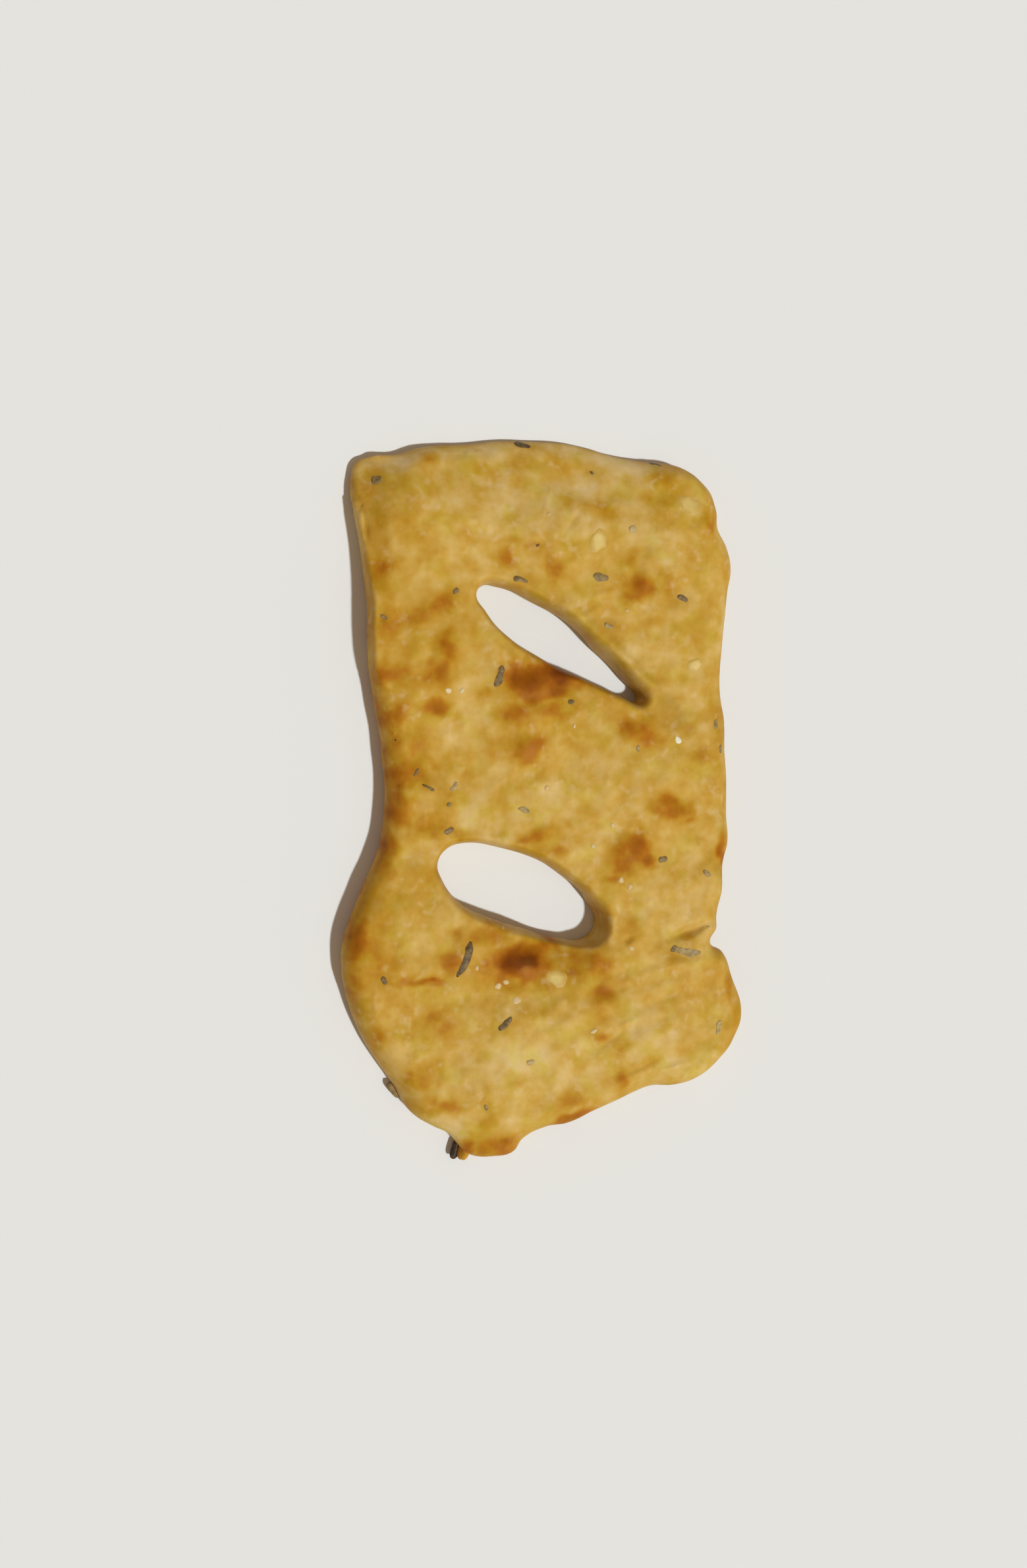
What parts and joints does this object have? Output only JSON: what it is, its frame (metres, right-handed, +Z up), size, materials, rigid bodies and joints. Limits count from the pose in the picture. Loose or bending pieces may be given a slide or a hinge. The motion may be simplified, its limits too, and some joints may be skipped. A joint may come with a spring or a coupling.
{
  "type": "fougasse",
  "caption": "Flat hand-shaped fougasse bread with slashes pulled open through it, browned blisters on a golden oiled crust and dried herb pieces baked in.",
  "frame": {"origin": "under the middle of the bread's box, on the surface that the bread lies on", "axes": "+X across the bread, towards the side with the pinch; +Y along it, from the pointed toe to the broad end; +Z up, out of the crust"},
  "size_m": [0.0868, 0.1503, 0.0102],
  "materials": {
    "baked_crust": "golden baked bread crust brushed with oil, browned in spots and along one edge",
    "dried_herb": "dull grey-green dried herb leaf, dark where it has scorched",
    "cheese_fleck": "pale yellow melted flecks and specks of salt on the crust"
  },
  "bodies": {
    "root": {"fougasse": "baked_crust"}
  },
  "joints": []
}
